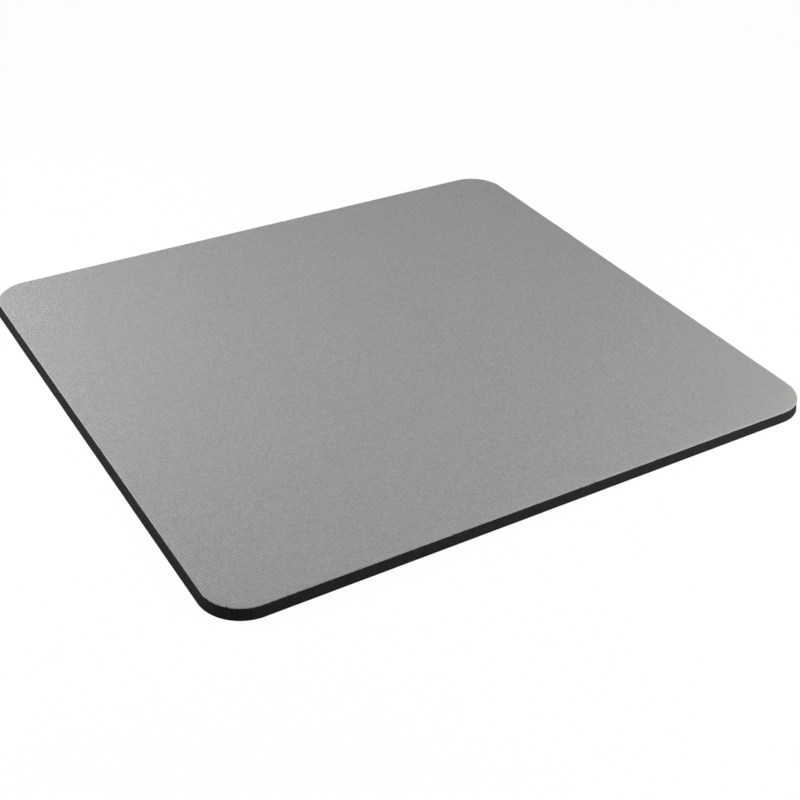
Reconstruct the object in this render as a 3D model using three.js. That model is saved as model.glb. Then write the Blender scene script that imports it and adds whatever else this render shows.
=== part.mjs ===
// A mouse pad: a grey knitted cloth bonded to a sheet of black sponge rubber, cut out in one stroke
// of a die, so all three layers share one outline with rounded corners.
//
// Millimetres, +Z up. The origin is the middle of the underside. +X runs along the longer sides,
// +Y from the side nearest the user to the side away from them.
import * as THREE from "three";

// Driving dimensions. Width, depth and corner radius are the base's, at the table.
const PAD_WIDTH = 240;
const PAD_DEPTH = 220;
const CORNER_RADIUS = 15;
const BASE_THICKNESS = 3.9;
const FILM_THICKNESS = 0.1;
const CLOTH_THICKNESS = 0.5;

// The die squeezes the sponge as it cuts, so the wall leans: its lower edge stands out past the cloth.
const WALL_LEAN = 0.8;

// Straight facets in each quarter-round corner. An arc in a shape gets two for each curve segment.
const CORNER_FACETS = 20;
const FACETS_PER_SEGMENT = 2;

// The levels at which the layers meet, counted up from the table.
const UNDERSIDE = 0;
const BASE_TOP = UNDERSIDE + BASE_THICKNESS;
const FILM_TOP = BASE_TOP + FILM_THICKNESS;
const CLOTH_TOP = FILM_TOP + CLOTH_THICKNESS;

// The corner arcs keep their centres at every level, and only their radius follows the wall.
const ARC_X = PAD_WIDTH / 2 - CORNER_RADIUS;
const ARC_Y = PAD_DEPTH / 2 - CORNER_RADIUS;
const RIM_RADIUS = CORNER_RADIUS - WALL_LEAN;

const spongeRubber = new THREE.MeshStandardMaterial({ color: 0x191918, roughness: 0.92, metalness: 0 });
const hotMeltFilm = new THREE.MeshStandardMaterial({ color: 0x353432, roughness: 0.45, metalness: 0 });
const greyKnit = new THREE.MeshStandardMaterial({ color: 0x9a9a98, roughness: 0.95, metalness: 0 });

// The outline at the table, drawn anticlockwise from the front side as four sides and four corner arcs.
function dieOutline() {
  const right = ARC_X + CORNER_RADIUS;
  const back = ARC_Y + CORNER_RADIUS;
  const quarter = Math.PI / 2;
  const outline = new THREE.Shape();
  outline.moveTo(-ARC_X, -back);
  outline.lineTo(ARC_X, -back);
  outline.absarc(ARC_X, -ARC_Y, CORNER_RADIUS, -quarter, 0, false);
  outline.lineTo(right, ARC_Y);
  outline.absarc(ARC_X, ARC_Y, CORNER_RADIUS, 0, quarter, false);
  outline.lineTo(-ARC_X, back);
  outline.absarc(-ARC_X, ARC_Y, CORNER_RADIUS, quarter, 2 * quarter, false);
  outline.lineTo(-right, -ARC_Y);
  outline.absarc(-ARC_X, -ARC_Y, CORNER_RADIUS, 2 * quarter, 3 * quarter, false);
  return outline;
}

// One layer of the laminate between two levels, each with its own corner radius. Both are written
// straight into the vertices, so neighbouring layers meet at exactly the same height and outline.
function layer(name, low, high, lowRadius, highRadius, material) {
  const geometry = new THREE.ExtrudeGeometry(dieOutline(), {
    depth: 1,
    bevelEnabled: false,
    curveSegments: CORNER_FACETS / FACETS_PER_SEGMENT,
  });
  const position = geometry.getAttribute("position");
  for (let i = 0; i < position.count; i += 1) {
    const upper = position.getZ(i) > 0;
    const reach = (upper ? highRadius : lowRadius) / CORNER_RADIUS;
    const coreX = THREE.MathUtils.clamp(position.getX(i), -ARC_X, ARC_X);
    const coreY = THREE.MathUtils.clamp(position.getY(i), -ARC_Y, ARC_Y);
    position.setX(i, coreX + (position.getX(i) - coreX) * reach);
    position.setY(i, coreY + (position.getY(i) - coreY) * reach);
    position.setZ(i, upper ? high : low);
  }
  const mesh = new THREE.Mesh(geometry, material);
  mesh.name = name;
  return mesh;
}

const mousePad = new THREE.Group();
mousePad.name = "mouse_pad";
mousePad.add(
  layer("rubber_base", UNDERSIDE, BASE_TOP, CORNER_RADIUS, RIM_RADIUS, spongeRubber),
  layer("bonding_film", BASE_TOP, FILM_TOP, RIM_RADIUS, RIM_RADIUS, hotMeltFilm),
  layer("cloth_top", FILM_TOP, CLOTH_TOP, RIM_RADIUS, RIM_RADIUS, greyKnit),
);

export default mousePad;
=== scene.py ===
# %% [markdown]
# # A cloth-topped mouse pad
#
# The real pad is a sandwich. A fine grey knit is bonded by a film of hot-melt adhesive to a sheet of
# black sponge rubber, and one stroke of a die cuts all three to a rounded rectangle.
# The frame holds that sandwich as three plain slabs. This lesson gives each slab the surface that the
# real layer has: ribs in the knit, yarn ends along its cut rim, sponge that the blade has dished, and
# a waffle moulded into the underside.

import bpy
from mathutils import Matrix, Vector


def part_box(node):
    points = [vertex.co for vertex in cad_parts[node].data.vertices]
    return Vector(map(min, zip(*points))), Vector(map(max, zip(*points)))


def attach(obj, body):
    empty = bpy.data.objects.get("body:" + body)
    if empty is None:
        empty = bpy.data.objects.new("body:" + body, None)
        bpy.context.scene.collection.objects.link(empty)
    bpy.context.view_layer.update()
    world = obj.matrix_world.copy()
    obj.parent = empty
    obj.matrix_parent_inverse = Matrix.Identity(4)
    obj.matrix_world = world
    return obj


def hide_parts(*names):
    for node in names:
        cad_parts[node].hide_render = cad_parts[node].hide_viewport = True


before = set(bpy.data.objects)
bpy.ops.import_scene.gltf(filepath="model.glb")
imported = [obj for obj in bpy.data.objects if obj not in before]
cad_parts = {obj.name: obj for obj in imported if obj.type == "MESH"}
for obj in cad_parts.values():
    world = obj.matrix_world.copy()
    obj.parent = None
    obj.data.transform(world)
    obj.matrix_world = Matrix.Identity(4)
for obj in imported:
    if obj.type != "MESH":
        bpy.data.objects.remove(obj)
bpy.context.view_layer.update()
print("frame nodes:", sorted(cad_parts))

# %% Modules and sizes
import math

import bmesh
import bpy
import numpy as np
from mathutils import Quaternion, Vector, noise

MM = 0.001
CORNER_RADIUS = 15 * MM

base_low, base_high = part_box("rubber_base")
film_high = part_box("bonding_film")[1]
cloth_low, cloth_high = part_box("cloth_top")
WIDTH = cloth_high[0] - cloth_low[0]
DEPTH = cloth_high[1] - cloth_low[1]
WALL_LEAN = base_high[0] - cloth_high[0]
RIM_RADIUS = CORNER_RADIUS - WALL_LEAN
UNDERSIDE = base_low[2]
BASE_TOP = base_high[2]
FILM_TOP = film_high[2]
CLOTH_TOP = cloth_high[2]
print(f"cloth {WIDTH / MM:.1f} x {DEPTH / MM:.1f} mm, top {CLOTH_TOP / MM:.1f} mm above the table")
print(f"the base stands out {WALL_LEAN / MM:.1f} mm beyond the cloth")

# %% [markdown]
# ## Camera
#
# The photograph is taken from in front and to the left, looking down at about 34 degrees from half a
# metre away. Placing the camera first means that every later choice can be compared with the photograph.
# It could be dragged into place by eye, but an aim point, two angles and a distance are easier to read,
# and the slight roll is simply a turn about the line of sight.

# %% Camera
LENS = 62.57
AIM = Vector((-10.76 * MM, -30.95 * MM, 0))
CAMERA_DISTANCE = 510.1 * MM
CAMERA_AZIMUTH = math.radians(-32.165)
CAMERA_ELEVATION = math.radians(34.17)
CAMERA_ROLL = math.radians(2.152)
NEAREST_SEEN = 10 * MM


def direction(azimuth, elevation):
    """Unit vector towards an azimuth, counted from the front, and an elevation above the table."""
    level = math.cos(elevation)
    return Vector((level * math.sin(azimuth), -level * math.cos(azimuth), math.sin(elevation)))


to_camera = direction(CAMERA_AZIMUTH, CAMERA_ELEVATION)
bpy.ops.object.camera_add(location=AIM + CAMERA_DISTANCE * to_camera)
camera = bpy.context.object
camera.data.lens = LENS
camera.data.clip_start = NEAREST_SEEN
camera.rotation_mode = "QUATERNION"
line_of_sight = (-to_camera).to_track_quat("-Z", "Y")
camera.rotation_quaternion = line_of_sight @ Quaternion((0, 0, 1), CAMERA_ROLL)
bpy.context.scene.camera = camera
print("camera at", [round(value / MM) for value in camera.location], "mm")

# %% [markdown]
# ## Table, room and lamps
#
# The pad lies on a white table. Its picture has two soft lights, one beyond each end of the frame: the
# cloth is lighter towards its left and right corners, and the black edge fades to almost nothing at the
# near corner, which faces neither lamp. Two large area lamps do the same, and a weak third one behind
# the pad with an even room fills what they leave dark. The camera doesn't see the lamps themselves.
# Light Path shows table and room to the camera as the same white, so they meet without a horizon, and
# the table still keeps the pad's shadow.

# %% Colour view and a helper for nodes
scene = bpy.context.scene
scene.view_settings.view_transform = "Standard"


def add_node(tree, kind, place, **settings):
    """Adds a node of a kind at a place in the tree's drawing, with its settings."""
    node = tree.nodes.new(kind)
    node.location = place
    for name, value in settings.items():
        setattr(node, name, value)
    return node


def camera_sees(tree):
    """A mask that is 1 for what the camera sees, directly, in a gloss or through glass."""
    path = add_node(tree, "ShaderNodeLightPath", (-900, 300))
    seen = path.outputs["Is Camera Ray"]
    for name in ("Is Glossy Ray", "Is Transmission Ray"):
        either = add_node(tree, "ShaderNodeMath", (-700, 300), operation="MAXIMUM")
        tree.links.new(seen, either.inputs[0])
        tree.links.new(path.outputs[name], either.inputs[1])
        seen = either.outputs["Value"]
    return seen


# %% Room
ROOM_LIGHT = 0.06
SHOWN_WHITE = 0.97

room = bpy.data.worlds.new("white_room")
room.use_nodes = True
scene.world = room
room_light = room.node_tree.nodes["Background"]
room_light.inputs["Color"].default_value = (1, 1, 1, 1)
room_light.inputs["Strength"].default_value = ROOM_LIGHT
room_white = add_node(room.node_tree, "ShaderNodeBackground", (0, -150))
room_white.inputs["Color"].default_value = (SHOWN_WHITE, SHOWN_WHITE, SHOWN_WHITE, 1)
room_mix = add_node(room.node_tree, "ShaderNodeMixShader", (200, 100))
room.node_tree.links.new(camera_sees(room.node_tree), room_mix.inputs["Fac"])
room.node_tree.links.new(room_light.outputs["Background"], room_mix.inputs[1])
room.node_tree.links.new(room_white.outputs["Background"], room_mix.inputs[2])
room.node_tree.links.new(room_mix.outputs["Shader"], room.node_tree.nodes["World Output"].inputs["Surface"])
print("room lights at strength", ROOM_LIGHT)

# %% Table top
TABLE_SIZE = 8.0
TABLE_DROP = 0.02 * MM
TABLE_WHITE = 0.86

bpy.ops.object.select_all(action="DESELECT")
bpy.ops.mesh.primitive_plane_add(size=TABLE_SIZE, location=(0, 0, UNDERSIDE - TABLE_DROP))
table = bpy.context.object
table.name = "table_top"

table_white = bpy.data.materials.new("white_table")
table_white.use_nodes = True
tree = table_white.node_tree
tree.nodes.remove(tree.nodes["Principled BSDF"])
lit = add_node(tree, "ShaderNodeBsdfDiffuse", (-200, 100))
lit.inputs["Color"].default_value = (TABLE_WHITE, TABLE_WHITE, TABLE_WHITE, 1)
glow = add_node(tree, "ShaderNodeEmission", (-200, -50))
share = add_node(tree, "ShaderNodeMath", (-450, 250), operation="MULTIPLY")
share.inputs[1].default_value = SHOWN_WHITE
tree.links.new(camera_sees(tree), share.inputs[0])
blend = add_node(tree, "ShaderNodeMixShader", (50, 100))
tree.links.new(share.outputs["Value"], blend.inputs["Fac"])
tree.links.new(lit.outputs["BSDF"], blend.inputs[1])
tree.links.new(glow.outputs["Emission"], blend.inputs[2])
tree.links.new(blend.outputs["Shader"], tree.nodes["Material Output"].inputs["Surface"])
table.data.materials.append(table_white)
print("table top", TABLE_SIZE, "m wide")

# %% Softboxes beyond both ends of the picture, and a weak one behind
SOFTBOX_SIZE = 0.3
SOFTBOXES = {
    "softbox_left": {"right": -0.31, "nearer": 0.06, "height": 0.18, "watts": 1.42},
    "softbox_right": {"right": 0.40, "nearer": 0.15, "height": 0.15, "watts": 2.52},
    "softbox_back": {"right": 0.0, "nearer": -0.36, "height": 0.25, "watts": 0.36},
}

picture_right = direction(CAMERA_AZIMUTH + math.radians(90), 0)
nearer = direction(CAMERA_AZIMUTH, 0)
for name, place in SOFTBOXES.items():
    centre = place["right"] * picture_right + place["nearer"] * nearer + Vector((0, 0, place["height"]))
    bpy.ops.object.light_add(type="AREA", location=centre)
    softbox = bpy.context.object
    softbox.name = name
    softbox.data.size = SOFTBOX_SIZE
    softbox.data.energy = place["watts"]
    softbox.visible_camera = False
    softbox.rotation_euler = centre.to_track_quat("Z", "Y").to_euler()
    print(name, "at", [round(value, 2) for value in centre], "m")

# %% [markdown]
# ## The die's outline
#
# All three layers are cut by the same steel rule, so they share one outline: four straight sides and
# four quarter-round corners about the same centres. The sponge is squeezed while it is cut, so its wall
# leans out below the cloth, and there only the radius grows. Three formulas describe this: how deep the
# cloth is at a place across it, how far a point lies from the rectangle of the arc centres, and which way
# is straight out. The layers share them, so they stay in line whatever is done to their edges.

# %% Outline formulas
ARC_X = WIDTH / 2 - RIM_RADIUS
ARC_Y = DEPTH / 2 - RIM_RADIUS


def half_depth(x):
    """Distance from the pad's middle line to the cloth's cut, at places across the pad."""
    into_corner = np.clip(np.abs(x) - ARC_X, 0, RIM_RADIUS)
    return ARC_Y + np.sqrt(RIM_RADIUS**2 - into_corner**2)


def from_core(x, y):
    """Distance of points from the rectangle of the arc centres, negative inside it."""
    across = np.abs(x) - ARC_X
    along = np.abs(y) - ARC_Y
    beyond = np.hypot(np.maximum(across, 0), np.maximum(along, 0))
    return beyond + np.minimum(np.maximum(across, along), 0)


def straight_out(x, y):
    """Unit directions out through the nearest part of the cut."""
    across = np.abs(x) - ARC_X
    along = np.abs(y) - ARC_Y
    corner = (across > 0) & (along > 0)
    out_x = np.where(corner, across, across >= along)
    out_y = np.where(corner, along, across < along)
    length = np.hypot(out_x, out_y)
    return np.sign(x) * out_x / length, np.sign(y) * out_y / length


# %% Helpers for meshes
def read_places(piece):
    """The mesh's vertices as an array of x, y and z."""
    places = np.empty(len(piece.data.vertices) * 3, np.float32)
    piece.data.vertices.foreach_get("co", places)
    return places.reshape(-1, 3).astype(float)


def write_places(piece, places):
    """Puts an array of places back into the mesh."""
    piece.data.vertices.foreach_set("co", places.astype(np.float32).ravel())
    piece.data.update()


def pick(piece, kind, test):
    """In edit mode, selects the vertices, edges or faces that pass a test."""
    bpy.ops.mesh.select_mode(type=kind)
    bpy.ops.mesh.select_all(action="DESELECT")
    shape = bmesh.from_edit_mesh(piece.data)
    for part in {"VERT": shape.verts, "EDGE": shape.edges, "FACE": shape.faces}[kind]:
        part.select = test(part)
    shape.select_flush_mode()
    bmesh.update_edit_mesh(piece.data)


def describe(piece):
    """Prints what a piece holds, and how many of its edges are open."""
    shape = bmesh.new()
    shape.from_mesh(piece.data)
    open_edges = sum(not edge.is_manifold for edge in shape.edges)
    triangles = sum(len(face.verts) - 2 for face in shape.faces)
    volume = shape.calc_volume(signed=True) / MM**3
    shape.free()
    print(f"{piece.name}: {triangles} triangles, {open_edges} open edges, {volume:.0f} mm3")


# Each seed reads the noise at a place of its own, a whole number of these steps away.
SEED_STEP = (17.3, 5.9, 11.1)


def unevenness(places, size, seed):
    """Smooth noise from -1 to 1 at each place, with lumps about as large as size."""
    shift = Vector([seed * part for part in SEED_STEP])
    return np.array([noise.noise(Vector(place) / size + shift) for place in places])


# %% [markdown]
# ## Sponge base
#
# Under the cloth is a sheet of closed-cell sponge rubber. The die squeezes it while cutting, so when it
# springs back the wall leans out towards the table, is a little hollow half-way up and wanders slightly.
# The die was not quite level either, so the wall leans out more at the left than at the right.
# A box with rounded corners would show none of this. Here a plane takes the die's outline from a vertex
# bevel. Its straight sides are halved again and again into short steps, with the face taken away
# meanwhile so that the cuts don't run across it. Extruding the filled outline ring by ring then leaves
# enough points in the wall for the hollow and the wander.

# %% A flat sheet in the die's outline
CORNER_STEPS = 24
RIM_STEP = 1.0 * MM
SIDE_HALVINGS = 8


def die_cut_sheet(name, level, radius):
    """Adds a flat rounded rectangle at a level and leaves it in edit mode."""
    bpy.ops.object.select_all(action="DESELECT")
    bpy.ops.mesh.primitive_plane_add(size=1, location=(0, 0, level))
    piece = bpy.context.object
    piece.name = name
    piece.scale = (2 * (ARC_X + radius), 2 * (ARC_Y + radius), 1)
    bpy.ops.object.transform_apply(location=True, rotation=False, scale=True)
    bpy.ops.object.mode_set(mode="EDIT")
    bpy.ops.mesh.select_all(action="SELECT")
    bpy.ops.mesh.bevel(offset=radius, segments=CORNER_STEPS, affect="VERTICES")
    bpy.ops.mesh.delete(type="ONLY_FACE")
    for _ in range(SIDE_HALVINGS):
        pick(piece, "EDGE", lambda edge: edge.calc_length() > RIM_STEP)
        bpy.ops.mesh.subdivide(number_cuts=1)
    bpy.ops.mesh.select_all(action="SELECT")
    bpy.ops.mesh.edge_face_add()
    return piece


sponge = die_cut_sheet("sponge_base", UNDERSIDE, CORNER_RADIUS)
print("sponge outline in", len(bmesh.from_edit_mesh(sponge.data).verts), "steps")

# %% Raise the wall in rings
LOWER_EDGE = 0.15 * MM
WALL_RINGS = 8

ring_height = (BASE_TOP - UNDERSIDE - LOWER_EDGE) / WALL_RINGS
for step in [LOWER_EDGE] + [ring_height] * WALL_RINGS:
    bpy.ops.mesh.extrude_region_move(TRANSFORM_OT_translate={"value": (0, 0, step)})
bpy.ops.mesh.select_all(action="SELECT")
bpy.ops.mesh.normals_make_consistent(inside=False)
print("wall in", WALL_RINGS + 1, "rings")

# %% [markdown]
# The underside grips the table with a shallow waffle that is moulded into the whole sheet, long before
# it is cut. An array of little squares would have to be trimmed at the corners. Bisecting the bottom face
# along evenly spaced lines gives a lattice that the outline has clipped, as the die would clip it.
# Insetting each whole cell by itself and pushing it in leaves ridges between sunken squares. The cells
# along the cut stay as a plain margin, where the blade has squeezed them shut.

# %% Waffle under the base
GRIP_PITCH = 3.0 * MM
GRIP_RIDGE = 0.8 * MM
GRIP_SINK = 0.25 * MM
LINE_SNAP = 0.001 * MM
FACING_DOWN = -0.99
WHOLE_SHARE = 0.99


def is_underside(face):
    """True for faces that look down at the table."""
    return face.normal.z < FACING_DOWN


def is_whole_cell(face):
    """True for a full square of the lattice that keeps clear of the cut."""
    middle = face.calc_center_median()
    clear = from_core(middle.x, middle.y) < CORNER_RADIUS - GRIP_PITCH / 2 - GRIP_RIDGE
    return is_underside(face) and clear and face.calc_area() > WHOLE_SHARE * GRIP_PITCH**2


for axis, reach in ((0, ARC_X + CORNER_RADIUS), (1, ARC_Y + CORNER_RADIUS)):
    normal = [float(axis == 0), float(axis == 1), 0.0]
    lines = math.floor((reach - GRIP_RIDGE) / GRIP_PITCH)
    for line in range(-lines, lines + 1):
        pick(sponge, "FACE", is_underside)
        place = [line * GRIP_PITCH * part for part in normal]
        bpy.ops.mesh.bisect(plane_co=place, plane_no=normal, use_fill=False, threshold=LINE_SNAP)
pick(sponge, "FACE", is_whole_cell)
print(sponge.data.total_face_sel, "squares in the waffle")
bpy.ops.mesh.inset(thickness=GRIP_RIDGE / 2, depth=-GRIP_SINK, use_individual=True)
bpy.ops.object.mode_set(mode="OBJECT")
describe(sponge)

# %% Lean and dish the wall and let it wander
WALL_DISH = 0.14 * MM
DIE_TILT = 0.3 * MM
WALL_WANDER = 0.05 * MM
WANDER_SIZE = 14 * MM
# Height counts for a fifth, so the wander hardly changes up the wall.
WANDER_STRETCH = (1, 1, 0.2)
WALL_PITTING = 0.025 * MM
PITTING_SIZE = 1.3 * MM
EDGE_TUCK = 0.09 * MM
WALL_SLACK = 0.01 * MM
SLAB_CREASE = math.radians(35)

places = read_places(sponge)
wall = from_core(places[:, 0], places[:, 1]) > CORNER_RADIUS - WALL_SLACK
rim = places[wall]
height = (rim[:, 2] - UNDERSIDE) / (BASE_TOP - UNDERSIDE)
shift = -WALL_LEAN * height - WALL_DISH * np.sin(math.pi * height)
shift -= DIE_TILT * (1 - height) * rim[:, 0] / (WIDTH / 2)
shift += WALL_WANDER * unevenness(rim * WANDER_STRETCH, WANDER_SIZE, seed=1)
shift += WALL_PITTING * unevenness(rim, PITTING_SIZE, seed=2)
shift -= EDGE_TUCK * (rim[:, 2] < UNDERSIDE + LOWER_EDGE / 2)
out_x, out_y = straight_out(rim[:, 0], rim[:, 1])
places[wall, 0] += shift * out_x
places[wall, 1] += shift * out_y
write_places(sponge, places)
bpy.ops.object.shade_smooth_by_angle(angle=SLAB_CREASE)
describe(sponge)

# %% [markdown]
# ## Bonding film
#
# Between sponge and cloth lies a film of hot-melt adhesive a tenth of a millimetre thick. At the cut it
# shows as a hair line that is drawn back here and squeezed out there. A painted line could not do that,
# so the film is a slab of the same outline, whose edge is shifted by the same kind of unevenness.

# %% Film
FILM_DRAWN_BACK = 0.06 * MM
FILM_WANDER = 0.05 * MM
FILM_WANDER_SIZE = 4 * MM

film = die_cut_sheet("adhesive_film", BASE_TOP, RIM_RADIUS)
bpy.ops.mesh.extrude_region_move(TRANSFORM_OT_translate={"value": (0, 0, FILM_TOP - BASE_TOP)})
bpy.ops.mesh.select_all(action="SELECT")
bpy.ops.mesh.normals_make_consistent(inside=False)
bpy.ops.object.mode_set(mode="OBJECT")
places = read_places(film)
shift = FILM_WANDER * unevenness(places * (1, 1, 0), FILM_WANDER_SIZE, seed=3) - FILM_DRAWN_BACK
out_x, out_y = straight_out(places[:, 0], places[:, 1])
places[:, 0] += shift * out_x
places[:, 1] += shift * out_y
write_places(film, places)
bpy.ops.object.shade_smooth_by_angle(angle=SLAB_CREASE)
describe(film)

# %% [markdown]
# ## Knitted cloth
#
# The working face is a fine warp knit. Its stitches stand in columns called wales, 0.69 mm apart and a
# degree or so off the short sides, and each wale is a low rib. A bump texture alone would leave the rim
# a straight line, so the ribs are real here: a grid has four columns of faces to each wale, and
# its rows crowd together along the rim, where the blade has pressed the cloth down.
# The cloth is laid flat and held all over by the film, so it needs no simulation.

# %% A grid with a column for every quarter of a wale
WALE_PITCH = 0.69 * MM
COLUMNS_PER_WALE = 4
RIM_ROWS = np.array([0, 0.12, 0.28, 0.5, 0.9]) * MM
INNER_ROWS = 46

wale_count = round(WIDTH / WALE_PITCH)
columns = wale_count * COLUMNS_PER_WALE
rows = INNER_ROWS + 2 * len(RIM_ROWS) - 1
bpy.ops.object.select_all(action="DESELECT")
bpy.ops.mesh.primitive_grid_add(x_subdivisions=columns, y_subdivisions=rows, size=1)
cloth = bpy.context.object
cloth.name = "knit_cloth"
grid = read_places(cloth)
column = np.rint((grid[:, 0] + 0.5) * columns)
row = np.rint((grid[:, 1] + 0.5) * rows)
print(wale_count, "wales,", columns, "columns and", rows, "rows of faces")

# %% Lay the columns inside the outline
WALE_SKEW = -math.tan(math.radians(1.4))
SKEW_WHOLE = 60 * MM


def lean_wales(x, y):
    """Where a place across the pad ends up when the wales lean. The lean fades out towards the sides."""
    fade = np.clip((np.abs(x) - SKEW_WHOLE) / (ARC_X - SKEW_WHOLE), 0, 1)
    return x + WALE_SKEW * y * (1 - fade * fade * (3 - 2 * fade))


wale = column / COLUMNS_PER_WALE
x = (column / columns - 0.5) * WIDTH
reach = half_depth(x)
from_end = np.minimum(row, rows - row)
rim_depth = RIM_ROWS[np.minimum(from_end, len(RIM_ROWS) - 1).astype(int)]
inner = (row - (len(RIM_ROWS) - 1)) / (INNER_ROWS + 1)
inner_reach = reach - RIM_ROWS[-1]
at_rim = from_end < len(RIM_ROWS)
y = np.where(at_rim, np.sign(row - rows / 2) * (reach - rim_depth), (2 * inner - 1) * inner_reach)
x = lean_wales(x, y)
print("wales lean", round(math.degrees(math.atan(WALE_SKEW)), 1), "degrees")

# %% Ribs, the pressed rim and a scalloped cut
RIB_HEIGHT = 0.11 * MM
RIB_ROUND = 0.7
RIM_PRESS = 0.17 * MM
RIM_REACH = 0.4 * MM
RIM_FLATTENS = 0.5
CLOTH_WAVES = 0.03 * MM
WAVE_SIZE = 25 * MM
SCALLOP = 0.07 * MM
SCALLOP_MIDDLE = 0.6
NICK = 0.4 * MM
NICK_SHARE = 0.03
CUT_WANDER = 0.04 * MM
CUT_WANDER_SIZE = 6 * MM
DICE_SEED = 7

dice = np.random.default_rng(DICE_SEED)
rib = (0.5 - 0.5 * np.cos(2 * math.pi * wale)) ** RIB_ROUND
depth_in = RIM_RADIUS - from_core(x, y)
press = np.exp(-((depth_in / RIM_REACH) ** 2))
flat = np.column_stack([x, y, 0 * x])
z = CLOTH_TOP - RIB_HEIGHT * (1 - rib) * (1 - RIM_FLATTENS * press) - RIM_PRESS * press
z -= CLOTH_WAVES * (0.5 + 0.5 * unevenness(flat, WAVE_SIZE, seed=4))

nicked = dice.random(wale_count + 1) < NICK_SHARE
nick_here = nicked[np.rint(wale).astype(int)] * (1 - rib)
cut_shift = SCALLOP * (rib - SCALLOP_MIDDLE) - NICK * nick_here
cut_shift += CUT_WANDER * unevenness(flat, CUT_WANDER_SIZE, seed=5)
cut_shift *= np.clip(1 - depth_in / RIM_ROWS[-1], 0, 1)
out_x, out_y = straight_out(x, y)
write_places(cloth, np.column_stack([x + cut_shift * out_x, y + cut_shift * out_y, z]))
print(int(nicked.sum()), "wales are nicked at the cut")

# %% Tell the cloth's finish where each stitch is
COURSE_PITCH = 0.52 * MM

nearness_to_cut = np.exp(-depth_in / RIM_REACH)
stitch_counts = np.column_stack([wale, y / COURSE_PITCH, nearness_to_cut])
stitch = cloth.data.attributes.new("stitch", "FLOAT_VECTOR", "POINT")
stitch.data.foreach_set("vector", stitch_counts.astype(np.float32).ravel())
print(round(DEPTH / COURSE_PITCH), "courses of stitches")

# %% Close the cut edge and the back of the cloth
CUT_STEP = 0.1 * MM
CUT_FLARE = 1.0004
CLOTH_CREASE = math.radians(40)

bpy.ops.object.mode_set(mode="EDIT")
bpy.ops.mesh.select_mode(type="VERT")
bpy.ops.mesh.select_all(action="DESELECT")
bpy.ops.mesh.select_non_manifold(extend=False)
bpy.ops.mesh.extrude_region_move(TRANSFORM_OT_translate={"value": (0, 0, -CUT_STEP)})
bpy.ops.transform.resize(value=(CUT_FLARE, CUT_FLARE, 1), center_override=(0, 0, 0))
bpy.ops.mesh.extrude_region_move(TRANSFORM_OT_translate={"value": (0, 0, -CUT_STEP)})
bpy.ops.transform.resize(value=(1 / CUT_FLARE, 1 / CUT_FLARE, 0), center_override=(0, 0, FILM_TOP))
bpy.ops.mesh.edge_face_add()
bpy.ops.mesh.select_all(action="SELECT")
bpy.ops.mesh.normals_make_consistent(inside=False)
bpy.ops.object.mode_set(mode="OBJECT")
bpy.ops.object.shade_smooth_by_angle(angle=CLOTH_CREASE)
describe(cloth)

# %% [markdown]
# A finish that is baked into a picture needs the surface laid out flat. An automatic unwrap
# would cut the cloth into many islands with seams in plain sight. The cloth is flat already, so its map
# is simply the view from above, with the cut edge folded out around it as a narrow skirt. The back, which
# nobody sees, is a small copy in the free strip.

# %% A flat map for baking
MAP_MARGIN = 0.01
MAP_SKIRT = 0.004
BACK_SHARE = 0.06

corner_count = len(cloth.data.loops)
corner_vertex = np.empty(corner_count, np.int32)
cloth.data.loops.foreach_get("vertex_index", corner_vertex)
flat = read_places(cloth)[:, :2]
map_scale = (1 - 2 * MAP_MARGIN) / WIDTH
top_map = MAP_MARGIN + (flat + (WIDTH / 2, DEPTH / 2)) * map_scale
skirt_step = (np.arange(len(flat)) - len(grid)) // (2 * (columns + rows)) + 1
out_x, out_y = straight_out(flat[:, 0], flat[:, 1])
skirt_width = MAP_SKIRT * np.maximum(skirt_step, 0)
top_map += np.column_stack([out_x, out_y]) * skirt_width[:, None]
back_map = flat / WIDTH * BACK_SHARE + (0.5, 1 - MAP_MARGIN - BACK_SHARE / 2)
map_places = top_map[corner_vertex]
back_face = max(cloth.data.polygons, key=lambda face: face.loop_total)
back_corners = slice(back_face.loop_start, back_face.loop_start + back_face.loop_total)
map_places[back_corners] = back_map[corner_vertex[back_corners]]
bake_map = cloth.data.uv_layers.new(name="OFBake")
bake_map.data.foreach_set("uv", map_places.astype(np.float32).ravel())
print("flat map from", map_places.min(0).round(3), "to", map_places.max(0).round(3))

# %% [markdown]
# ## Cut yarn ends
#
# Where the blade crosses the wales, at the front and back, every wale ends in a brush of cut filaments
# that spring out a fraction of a millimetre. Where it runs along them, at the sides, a sliced wale comes
# away in short lengths. A hair system would be lost in the export, so one tapered filament is modelled
# from a cone, and each copy gets its own place, heading, length and bow.

# %% One filament, a unit long
FILAMENT_SIDES = 4
FILAMENT_TIP = 0.4
FILAMENT_BENDS = (0.33, 0.67)

bpy.ops.object.select_all(action="DESELECT")
bpy.ops.mesh.primitive_cone_add(
    vertices=FILAMENT_SIDES, radius1=1, radius2=FILAMENT_TIP, depth=1, location=(0, 0, 0.5)
)
yarn_ends = bpy.context.object
yarn_ends.name = "cut_yarn_ends"
bpy.ops.object.transform_apply(location=True, rotation=False, scale=False)
bpy.ops.object.mode_set(mode="EDIT")
for level in FILAMENT_BENDS:
    bpy.ops.mesh.select_all(action="SELECT")
    bpy.ops.mesh.bisect(plane_co=(0, 0, level), plane_no=(0, 0, 1), use_fill=False)
bpy.ops.object.mode_set(mode="OBJECT")
filament = read_places(yarn_ends)
filament_faces = [list(face.vertices) for face in yarn_ends.data.polygons]
print("one filament has", len(filament_faces), "faces")


def place_filament(root, heading, length, radius, bow):
    """A filament's vertices: from a root along a heading, bowed sideways towards its tip."""
    turn = np.array(Vector(heading).to_track_quat("Z", "Y").to_matrix())
    shape = filament * (radius, radius, length)
    return shape @ turn.T + np.outer(filament[:, 2] ** 2, bow) + root


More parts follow.
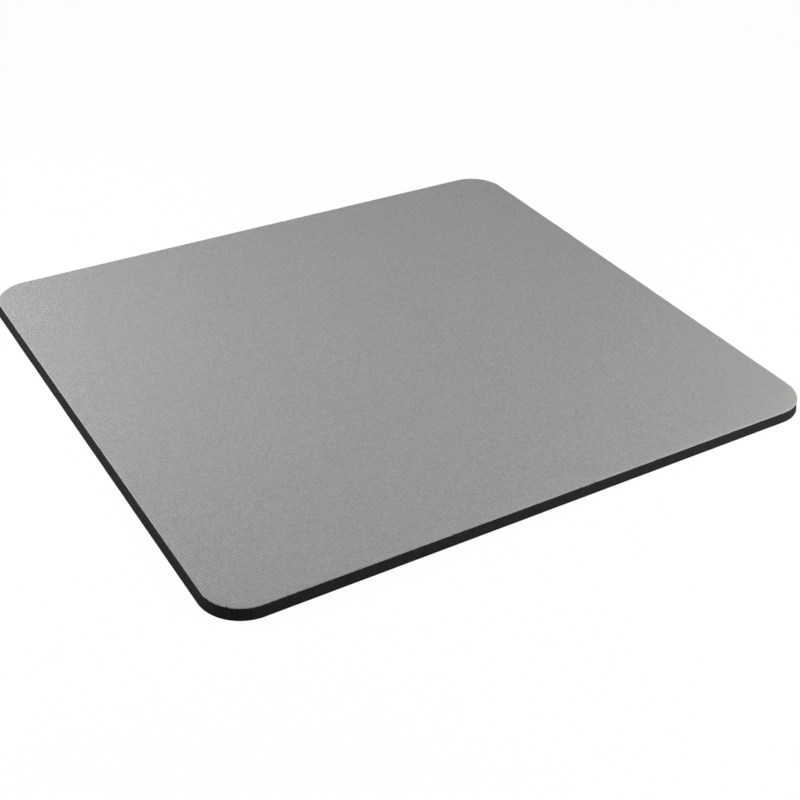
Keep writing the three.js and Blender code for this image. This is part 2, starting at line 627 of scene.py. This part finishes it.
# %% Brushes of filaments at the ends of the wales
FILAMENTS_PER_WALE = 3
FILAMENT_LENGTH = 0.4 * MM
FILAMENT_RADIUS = 0.024 * MM
FILAMENT_SPREAD = (0.3, 0.3, 0)
FILAMENT_DROOP = 0.35
LENGTH_SPREAD = 0.3
BOW_SPREAD = (0.25, 0.25, 0.05)
ROOT_INSIDE = 0.15 * MM
ROOT_ABOVE_FILM = 0.08 * MM
ROOT_BELOW_RIM = 0.06 * MM

filaments = []
root_low = FILM_TOP + ROOT_ABOVE_FILM
root_high = CLOTH_TOP - RIM_PRESS - ROOT_BELOW_RIM
filament_count = wale_count * FILAMENTS_PER_WALE
filament_ends = (np.arange(filament_count) + 0.5) / filament_count * WIDTH - WIDTH / 2
for end in (-1, 1):
    for across in filament_ends:
        along = end * half_depth(across)
        out = np.array([*straight_out(np.array(across), np.array(along)), 0.0])
        root = np.array([lean_wales(across, along), along, dice.uniform(root_low, root_high)])
        heading = out + dice.normal(0, FILAMENT_SPREAD) - (0, 0, abs(dice.normal(0, FILAMENT_DROOP)))
        length = FILAMENT_LENGTH * np.exp(dice.normal(0, LENGTH_SPREAD))
        bow = dice.normal(0, BOW_SPREAD) * length
        filaments.append(place_filament(root - ROOT_INSIDE * out, heading, length, FILAMENT_RADIUS, bow))
print(len(filaments), "filaments at the front and back")

# %% Sliced lengths along the sides
LENGTHS_A_SIDE = 34
LONGEST_LENGTH = 6.5 * MM
SHORTEST_SHARE = 0.25
LENGTH_RADIUS = 0.06 * MM
RADIUS_SHARE = (0.7, 1.1)
LENGTH_INSIDE = 0.03 * MM
LENGTH_SWAY = 0.01
BOW_OUT = (-0.06, 0.1)
BOW_UP = (-0.1, 0.05)

for side in (-1, 1):
    for along in dice.uniform(-1, 1, LENGTHS_A_SIDE) * (ARC_Y - LONGEST_LENGTH):
        root = np.array([side * (WIDTH / 2 - LENGTH_INSIDE), along, dice.uniform(root_low, root_high)])
        sway = side * dice.normal(0, LENGTH_SWAY)
        heading = (sway, dice.choice((-1, 1)), dice.normal(0, LENGTH_SWAY))
        length = dice.uniform(SHORTEST_SHARE, 1) * LONGEST_LENGTH
        bow = np.array([side * dice.uniform(*BOW_OUT), 0, dice.uniform(*BOW_UP)]) * MM
        radius = LENGTH_RADIUS * dice.uniform(*RADIUS_SHARE)
        filaments.append(place_filament(root, heading, length, radius, bow))
print(2 * LENGTHS_A_SIDE, "sliced lengths at the sides")

# %% One mesh of all the filaments
FILAMENT_CREASE = math.radians(60)

faces = []
for copy in range(len(filaments)):
    first = copy * len(filament)
    faces += [[first + corner for corner in face] for face in filament_faces]
mesh = bpy.data.meshes.new("cut_yarn_ends")
mesh.from_pydata(np.concatenate(filaments).tolist(), [], faces)
yarn_ends.data = mesh
bpy.ops.object.shade_smooth_by_angle(angle=FILAMENT_CREASE)
describe(yarn_ends)

# %% [markdown]
# ## Finishes
#
# Every finish here is uneven on the scale of its own fibres or cells, so one node group holds that
# unevenness. It gives a shade near 1 to multiply a colour with, and a height for a bump, from noise in
# object coordinates. Each material places it with its own grain size and strength.

# %% Node helpers
def wire(tree, value, socket):
    """Feeds a socket from another socket, or sets it to a number."""
    if isinstance(value, bpy.types.NodeSocket):
        tree.links.new(value, socket)
    else:
        socket.default_value = value


def calculate(tree, operation, first, second=0.0, third=0.0, place=(0, 0)):
    """A Math node on up to three sockets or numbers. Returns its result."""
    node = add_node(tree, "ShaderNodeMath", place, operation=operation)
    for value, socket in zip((first, second, third), node.inputs):
        wire(tree, value, socket)
    return node.outputs["Value"]


def ramp(tree, value, low, high, from_low=0.0, from_high=1.0, place=(0, 0)):
    """Maps a value smoothly from one range to another."""
    node = add_node(tree, "ShaderNodeMapRange", place, interpolation_type="SMOOTHSTEP")
    for number, name in ((value, "Value"), (from_low, "From Min"), (from_high, "From Max")):
        wire(tree, number, node.inputs[name])
    wire(tree, low, node.inputs["To Min"])
    wire(tree, high, node.inputs["To Max"])
    return node.outputs["Result"]


def tinted(tree, colour, shade, place):
    """A colour multiplied by a shade."""
    node = add_node(tree, "ShaderNodeMix", place, data_type="RGBA", blend_type="MULTIPLY")
    node.inputs["Factor"].default_value = 1
    wire(tree, colour, node.inputs["A"])
    wire(tree, shade, node.inputs["B"])
    return node.outputs["Result"]


def add_bump(tree, shader, height, strength, distance, place):
    """Makes a shader's surface look as uneven as a height."""
    node = add_node(tree, "ShaderNodeBump", place)
    node.inputs["Strength"].default_value = strength
    node.inputs["Distance"].default_value = distance
    wire(tree, height, node.inputs["Height"])
    wire(tree, node.outputs["Normal"], shader.inputs["Normal"])


def new_finish(name):
    """A new material, its node tree and its shader."""
    material = bpy.data.materials.new(name)
    material.use_nodes = True
    return material, material.node_tree, material.node_tree.nodes["Principled BSDF"]


# %% The shared grain
GRAIN_DETAIL = 3

grain = bpy.data.node_groups.new("fine_grain", "ShaderNodeTree")
for name, default in (("Grain Size", MM), ("Strength", 0.1)):
    socket = grain.interface.new_socket(name, in_out="INPUT", socket_type="NodeSocketFloat")
    socket.default_value = default
for name in ("Shade", "Height"):
    grain.interface.new_socket(name, in_out="OUTPUT", socket_type="NodeSocketFloat")
given = add_node(grain, "NodeGroupInput", (-800, 0))
result = add_node(grain, "NodeGroupOutput", (400, 0))
where = add_node(grain, "ShaderNodeTexCoord", (-800, -200))
speckle = add_node(grain, "ShaderNodeTexNoise", (-300, 0))
speckle.inputs["Detail"].default_value = GRAIN_DETAIL
fineness = calculate(grain, "DIVIDE", 1.0, given.outputs["Grain Size"], place=(-550, 0))
wire(grain, where.outputs["Object"], speckle.inputs["Vector"])
wire(grain, fineness, speckle.inputs["Scale"])
centred = calculate(grain, "SUBTRACT", speckle.outputs["Fac"], 0.5, place=(-50, 0))
shade = calculate(grain, "MULTIPLY_ADD", centred, given.outputs["Strength"], 1.0, place=(200, 100))
wire(grain, shade, result.inputs["Shade"])
wire(grain, speckle.outputs["Fac"], result.inputs["Height"])
print("group", grain.name, "made")


def add_grain(tree, size, strength, place):
    """Places the shared grain in a material."""
    node = add_node(tree, "ShaderNodeGroup", place, node_tree=grain)
    node.inputs["Grain Size"].default_value = size
    node.inputs["Strength"].default_value = strength
    return node


# %% [markdown]
# ### Grey knit
#
# The polyester yarn is light grey and matte with a little sheen. Each wale is a chain of loops whose two
# legs lean together like a V, and between the wales the eye looks down into shadow. That shade is painted
# into the colour: painted shade darkens the valleys between the wales, which also stand for the dark film
# seen through the gaps, the groove between a loop's legs and the gap from one loop to the next.
# A picture of knit would repeat and run straight. The stitch attribute counts wales and courses over the
# mesh instead, so the finish knows where in a stitch it is, and the pattern follows the ribs even where
# they lean.
# The attribute's third number says how near the cut a point is, and the colour is made a little darker
# there.

# %% Where in a stitch each point is
# Painted shade: the valleys between the wales (partly the dark film seen through), the groove between a
# loop's legs and the gap between loops are darkened in the colour.
VALLEY_PAINTED_SHADE = 0.45
VALLEY_EDGES = (0.02, 0.3)
GROOVE_PAINTED_SHADE = 0.85
GROOVE_EDGES = (0.4, 0.5)
LOOP_GAP_PAINTED_SHADE = 0.7
LOOP_EDGES = (0.0, 0.25)
RIM_SHADE = 0.95
RIM_EDGES = (0.4, 1.0)

knit, tree, shader = new_finish("grey_knit")
stitch_place = add_node(tree, "ShaderNodeAttribute", (-1700, 0), attribute_name="stitch")
split = add_node(tree, "ShaderNodeSeparateXYZ", (-1500, 0))
wire(tree, stitch_place.outputs["Vector"], split.inputs["Vector"])
wales, courses, cut_nearness = split.outputs
crest = calculate(tree, "PINGPONG", wales, 0.5, place=(-1300, 200))
valley_painted_shade = ramp(tree, crest, VALLEY_PAINTED_SHADE, 1.0, *VALLEY_EDGES, place=(-1100, 200))
groove = ramp(tree, crest, 1.0, GROOVE_PAINTED_SHADE, *GROOVE_EDGES, place=(-1100, 400))
leg = calculate(tree, "SUBTRACT", courses, crest, place=(-1300, -50))
in_leg = calculate(tree, "PINGPONG", leg, 0.5, place=(-1100, -50))
painted_loop_gap_shade = ramp(tree, in_leg, LOOP_GAP_PAINTED_SHADE, 1.0, *LOOP_EDGES, place=(-900, -50))
rim_shade = ramp(tree, cut_nearness, 1.0, RIM_SHADE, *RIM_EDGES, place=(-650, -300))
print("each stitch has two legs, a groove between them and a valley on each side")

# %% Uneven yarn: streaks along the wales, beads and fluff
STREAK = 0.02
STREAK_SQUEEZE = 0.12
STREAK_DETAIL = 2
STREAK_EDGES = (0.2, 0.8)
BEAD = 0.18
FLUFF_SIZE = 0.3 * MM
FLUFF = 0.12

wale_number = calculate(tree, "FLOOR", wales, place=(-1500, -300))
yarn_run = add_node(tree, "ShaderNodeCombineXYZ", (-1300, -300))
wire(tree, wale_number, yarn_run.inputs["X"])
wire(tree, calculate(tree, "MULTIPLY", courses, STREAK_SQUEEZE, place=(-1500, -450)), yarn_run.inputs["Y"])
streak = add_node(tree, "ShaderNodeTexNoise", (-1100, -300))
streak.inputs["Scale"].default_value = 1
streak.inputs["Detail"].default_value = STREAK_DETAIL
wire(tree, yarn_run.outputs["Vector"], streak.inputs["Vector"])
streak_shade = ramp(tree, streak.outputs["Fac"], 1 - STREAK, 1 + STREAK, *STREAK_EDGES, place=(-900, -300))
one_stitch = add_node(tree, "ShaderNodeCombineXYZ", (-1300, -750))
wire(tree, wale_number, one_stitch.inputs["X"])
wire(tree, calculate(tree, "FLOOR", leg, place=(-1500, -900)), one_stitch.inputs["Y"])
bead = add_node(tree, "ShaderNodeTexWhiteNoise", (-1100, -750), noise_dimensions="2D")
wire(tree, one_stitch.outputs["Vector"], bead.inputs["Vector"])
bead_shade = calculate(tree, "MULTIPLY_ADD", bead.outputs["Value"], BEAD, 1 - BEAD / 2, place=(-900, -750))
fluff = add_grain(tree, FLUFF_SIZE, FLUFF, (-900, -550))
print(f"stitches differ by {BEAD:.0%}")

# %% The knit's colour and surface
KNIT_GREY = (0.402, 0.402, 0.39, 1)
KNIT_ROUGHNESS = (0.85, 1.0)
KNIT_BUMP = 0.35
KNIT_BUMP_DEPTH = 0.08 * MM

# The colour's shade is painted shade from valleys, grooves and loop gaps, times the yarn's random tone from
# streaks, beads and fluff, times the darkening near the cut.
shade = valley_painted_shade
for step, part in enumerate((painted_loop_gap_shade, groove, streak_shade, bead_shade, fluff.outputs["Shade"], rim_shade)):
    shade = calculate(tree, "MULTIPLY", shade, part, place=(-650 + 80 * step, 100))
wire(tree, tinted(tree, KNIT_GREY, shade, (-150, 200)), shader.inputs["Base Color"])
roughness = ramp(tree, fluff.outputs["Height"], *KNIT_ROUGHNESS, place=(-450, -400))
wire(tree, roughness, shader.inputs["Roughness"])
height = calculate(tree, "MULTIPLY", painted_loop_gap_shade, fluff.outputs["Height"], place=(-450, -600))
add_bump(tree, shader, height, KNIT_BUMP, KNIT_BUMP_DEPTH, (-150, -500))
shader.inputs["Specular IOR Level"].default_value = 0.2
shader.inputs["Sheen Weight"].default_value = 0.15
shader.inputs["Sheen Roughness"].default_value = 0.5
cloth.data.materials.append(knit)
print("grey knit on", cloth.name)

# %% [markdown]
# ### Black sponge
#
# Sponge rubber is filled with carbon black, and its cut face is a field of tiny opened cells, so it takes
# in nearly all light and has almost no gloss. Modelling every cell would take millions of faces. Two
# Voronoi textures give the cells, some a third of a millimetre wide and many more half that. The blade
# opens one cell wide and only grazes the next, so each cell's own random colour says how open it is.
# The shared grain makes the skin between the cells uneven. The open cells are darkened in the colour, which
# is painted shade in the pits, and a bump sinks them as well.

# %% Black sponge
SPONGE_BLACK = (0.0095, 0.0095, 0.009, 1)
SPONGE_ROUGHNESS = (0.95, 0.8)
SPONGE_BUMP = 0.7
SPONGE_BUMP_DEPTH = 0.1 * MM
SKIN_SIZE = 2.5 * MM
SKIN = 0.8
CELL_PAINTED_SHADE = {0.36 * MM: 0.8, 0.18 * MM: 0.5}
CELL_EDGES = (0.25, 0.5)
OPENNESS_EDGES = (0.05, 0.6)

sponge_black, tree, shader = new_finish("black_sponge")
where = add_node(tree, "ShaderNodeTexCoord", (-1500, 0))
skin = add_grain(tree, SKIN_SIZE, SKIN, (-500, 300))
shade = skin.outputs["Shade"]
surface = 1.0
for level, (size, pit_shade_strength) in enumerate(CELL_PAINTED_SHADE.items()):
    drop = -400 * level
    cells = add_node(tree, "ShaderNodeTexVoronoi", (-1250, drop))
    cells.inputs["Scale"].default_value = 1 / size
    wire(tree, where.outputs["Object"], cells.inputs["Vector"])
    hollow = ramp(tree, cells.outputs["Distance"], 1.0, 0.0, *CELL_EDGES, place=(-1000, drop))
    own_colour = add_node(tree, "ShaderNodeSeparateColor", (-1000, drop - 200))
    wire(tree, cells.outputs["Color"], own_colour.inputs["Color"])
    openness = ramp(tree, own_colour.outputs["Red"], 0.0, 1.0, *OPENNESS_EDGES, place=(-800, drop - 200))
    pit = calculate(tree, "MULTIPLY", hollow, openness, place=(-600, drop))
    # Painted shade: an open cell is darkened in the colour, as if shadow lay in it.
    pit_painted_shade = calculate(tree, "MULTIPLY_ADD", pit, -pit_shade_strength, 1.0, place=(-400, drop))
    shade = calculate(tree, "MULTIPLY", shade, pit_painted_shade, place=(-200, drop))
    depth = size / max(CELL_PAINTED_SHADE)
    surface = calculate(tree, "MULTIPLY_ADD", pit, -depth, surface, place=(-200, drop - 200))
wire(tree, tinted(tree, SPONGE_BLACK, shade, (0, 100)), shader.inputs["Base Color"])
wire(tree, ramp(tree, surface, *SPONGE_ROUGHNESS, place=(0, -150)), shader.inputs["Roughness"])
add_bump(tree, shader, surface, SPONGE_BUMP, SPONGE_BUMP_DEPTH, (0, -350))
shader.inputs["Specular IOR Level"].default_value = 0.09
sponge.data.materials.append(sponge_black)
print("black sponge on", sponge.name)

# %% [markdown]
# ### Adhesive and yarn ends
#
# The film is a cloudy grey line at most. The yarn ends are the knit's own polyester, but they have none
# of the shade painted into its gaps, so painted shade makes their grey a little darker than the yarn's own,
# to match it. Both need only the shared grain.

# %% Adhesive film
FILM_GREY = (0.035, 0.034, 0.032, 1)
FILM_ROUGHNESS = (0.4, 0.65)
CLOUD_SIZE = 1.5 * MM
CLOUD = 0.9

film_grey, tree, shader = new_finish("cloudy_adhesive")
cloud = add_grain(tree, CLOUD_SIZE, CLOUD, (-600, 0))
wire(tree, tinted(tree, FILM_GREY, cloud.outputs["Shade"], (-300, 100)), shader.inputs["Base Color"])
roughness = ramp(tree, cloud.outputs["Height"], *FILM_ROUGHNESS, place=(-300, -150))
wire(tree, roughness, shader.inputs["Roughness"])
film.data.materials.append(film_grey)
print("cloudy adhesive on", film.name)

# %% Yarn ends
# Painted shade: this grey is set below the yarn's own grey to match the shade painted into the knit.
END_GREY_WITH_PAINTED_SHADE = (0.33, 0.329, 0.32, 1)
END_ROUGHNESS = (0.75, 0.95)
STRAND_SIZE = 0.6 * MM
STRAND = 0.7

end_grey, tree, shader = new_finish("cut_yarn")
strand = add_grain(tree, STRAND_SIZE, STRAND, (-600, 0))
wire(tree, tinted(tree, END_GREY_WITH_PAINTED_SHADE, strand.outputs["Shade"], (-300, 100)), shader.inputs["Base Color"])
roughness = ramp(tree, strand.outputs["Height"], *END_ROUGHNESS, place=(-300, -150))
wire(tree, roughness, shader.inputs["Roughness"])
shader.inputs["Specular IOR Level"].default_value = 0.2
yarn_ends.data.materials.append(end_grey)
print("cut yarn on", yarn_ends.name)

# %% [markdown]
# ## Join the pieces to the frame
#
# Each piece rides on the one body and takes the place of its slab, which is hidden. The yarn ends have
# no slab, so they ride along.

# %% Attach the pieces and hide their slabs
for piece, node, slot in (
    (sponge, "rubber_base", "sponge"),
    (film, "bonding_film", "film"),
    (cloth, "cloth_top", "cloth"),
):
    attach(piece, "root")
    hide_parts(node)
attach(yarn_ends, "root")
print(f"cloth cut from {WIDTH / MM:.1f} x {DEPTH / MM:.1f} mm")
